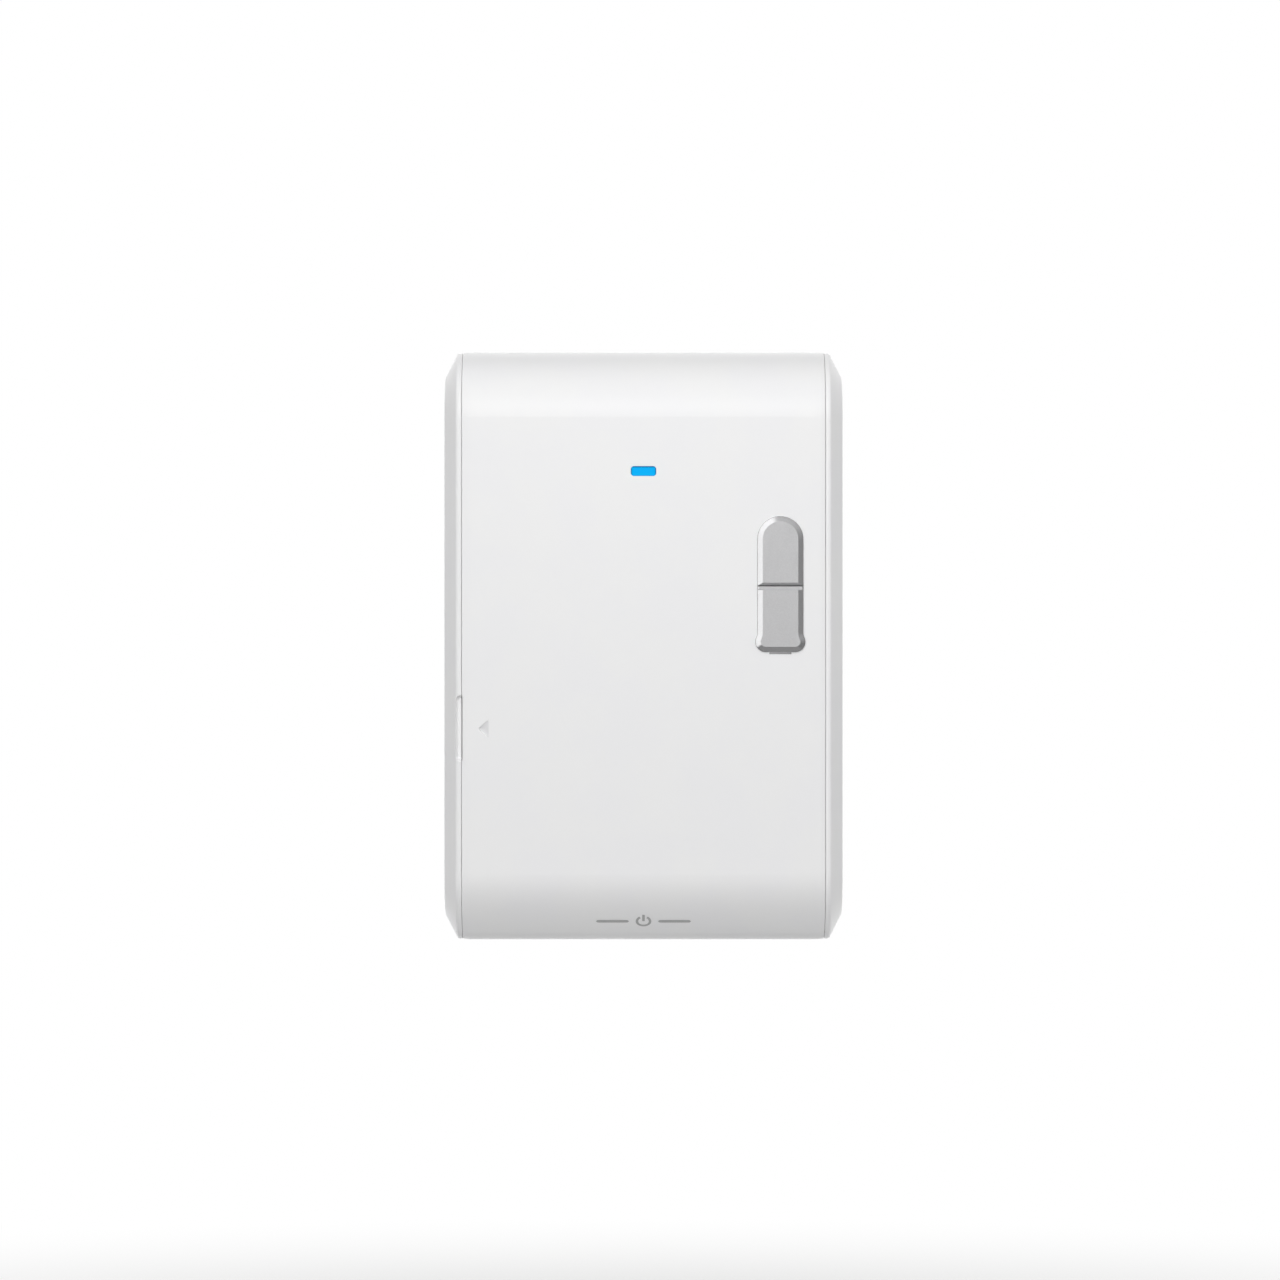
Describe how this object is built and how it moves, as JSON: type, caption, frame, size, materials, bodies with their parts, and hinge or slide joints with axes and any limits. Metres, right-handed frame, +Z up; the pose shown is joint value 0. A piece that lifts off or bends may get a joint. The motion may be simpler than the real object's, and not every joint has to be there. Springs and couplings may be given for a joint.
{
  "type": "smart wall switch actuator",
  "caption": "Battery-powered box screwed over a toggle switch; a geared carriage moves the lever, and two front keys work it by hand.",
  "frame": {"origin": "on the wall plane, midway between the two plate-screw holes", "axes": "+X to the right and +Z up as seen from the room, +Y into the wall; the front faces -Y"},
  "size_m": [0.083, 0.034, 0.123],
  "materials": {
    "white_abs": "matte, very fine texture",
    "white_abs_inner": "matte",
    "grey_key": "satin",
    "blue_light": "translucent, lit",
    "board_green": "solder mask",
    "module_black": "solder mask",
    "tinned_steel": "bright tin plate",
    "black_plastic": "moulded",
    "ivory_nylon": "moulded",
    "red_silicone": "matte",
    "gear_acetal": "natural acetal, satin",
    "carriage_acetal": "dark grey acetal",
    "yoke_nylon": "light grey nylon",
    "motor_steel": "nickel plate",
    "rotor_core": "wound core",
    "brass_pinion": "turned",
    "polished_steel": "ground and polished",
    "screw_steel": "zinc plate",
    "cell_wrap": "printed film",
    "nickel_contact": "nickel plate",
    "lead_insulation": "silicone",
    "battery_lead_insulation": "silicone",
    "pad_rubber": "closed-cell foam rubber",
    "capacitor_aluminium": "satin"
  },
  "bodies": {
    "housing": {"main_housing": "white_abs", "battery_frame": "white_abs_inner", "battery_frame_screws": "screw_steel", "battery_header": "ivory_nylon", "battery_leads": "battery_lead_insulation", "battery_lower": "cell_wrap", "battery_plug": "ivory_nylon", "battery_upper": "cell_wrap", "board_screws": "screw_steel", "bridge_contact": "nickel_contact", "bridge_spring": "nickel_contact", "chassis": "white_abs_inner", "chassis_screws": "screw_steel", "driver_chip": "black_plastic", "gear_pins": "polished_steel", "gearbox_cover": "white_abs_inner", "gearbox_screws": "screw_steel", "guide_rods": "polished_steel", "key_guide": "white_abs_inner", "key_guide_screws": "screw_steel", "lower_tact_switch": "black_plastic", "main_board": "board_green", "motor_bracket": "tinned_steel", "motor_bracket_screws": "screw_steel", "motor_can": "motor_steel", "motor_end_cap": "black_plastic", "motor_header": "ivory_nylon", "motor_leads": "lead_insulation", "motor_plug": "ivory_nylon", "negative_contact": "nickel_contact", "negative_spring": "nickel_contact", "positive_contact": "nickel_contact", "radio_module": "module_black", "radio_shield": "tinned_steel", "rear_cover": "white_abs_inner", "rear_cover_screws": "screw_steel", "reservoir_capacitor": "capacitor_aluminium", "status_led": "ivory_nylon", "upper_tact_switch": "black_plastic", "wall_pads": "pad_rubber"},
    "cover": {"front_cover": "white_abs", "light_pipe": "blue_light"},
    "upper_key_body": {"upper_key": "grey_key", "upper_tact_plunger": "red_silicone"},
    "lower_key_body": {"lower_key": "grey_key", "lower_tact_plunger": "red_silicone"},
    "rotor": {"motor_rotor": "rotor_core", "motor_shaft": "polished_steel", "motor_pinion": "brass_pinion"},
    "first_gear_body": {"first_gear": "gear_acetal"},
    "second_gear_body": {"second_gear": "gear_acetal"},
    "output_gear_body": {"output_gear": "gear_acetal"},
    "carriage_body": {"carriage": "carriage_acetal", "switch_yoke": "yoke_nylon", "yoke_screws": "screw_steel"}
  },
  "joints": [
    {"name": "cover_release", "type": "slide", "parent": "housing", "child": "cover", "axis": [0, -1, 0], "range_m": [0, 0.045]},
    {"name": "upper_key_press", "type": "slide", "parent": "housing", "child": "upper_key_body", "axis": [0, 1, 0], "range_m": [0, 0.0005], "stiffness_N_per_m": 3200},
    {"name": "lower_key_press", "type": "slide", "parent": "housing", "child": "lower_key_body", "axis": [0, 1, 0], "range_m": [0, 0.0005], "stiffness_N_per_m": 3200},
    {"name": "motor_spin", "type": "hinge", "parent": "housing", "child": "rotor", "pos_m": [-0.0315, -0.012, 0.03367], "axis": [0, 1, 0], "range_deg": [-4278, 4278]},
    {"name": "first_gear_spin", "type": "hinge", "parent": "housing", "child": "first_gear_body", "pos_m": [-0.029, -0.02, 0.02245], "axis": [0, 1, 0], "range_deg": [-1189, 1189]},
    {"name": "second_gear_spin", "type": "hinge", "parent": "housing", "child": "second_gear_body", "pos_m": [-0.0265, -0.018, 0.01123], "axis": [0, 1, 0], "range_deg": [-331, 331]},
    {"name": "output_gear_spin", "type": "hinge", "parent": "housing", "child": "output_gear_body", "pos_m": [-0.029, -0.012, 0], "axis": [0, 1, 0], "range_deg": [-92, 92]},
    {"name": "carriage_slide", "type": "slide", "parent": "housing", "child": "carriage_body", "axis": [0, 0, 1], "range_m": [-0.008, 0.008]}
  ],
  "couplings": [
    {"joint": "output_gear_spin", "follows": "carriage_slide", "rad_per_m": -200},
    {"joint": "second_gear_spin", "follows": "carriage_slide", "rad_per_m": 720},
    {"joint": "first_gear_spin", "follows": "carriage_slide", "rad_per_m": -2592},
    {"joint": "motor_spin", "follows": "carriage_slide", "rad_per_m": 9331.2}
  ]
}
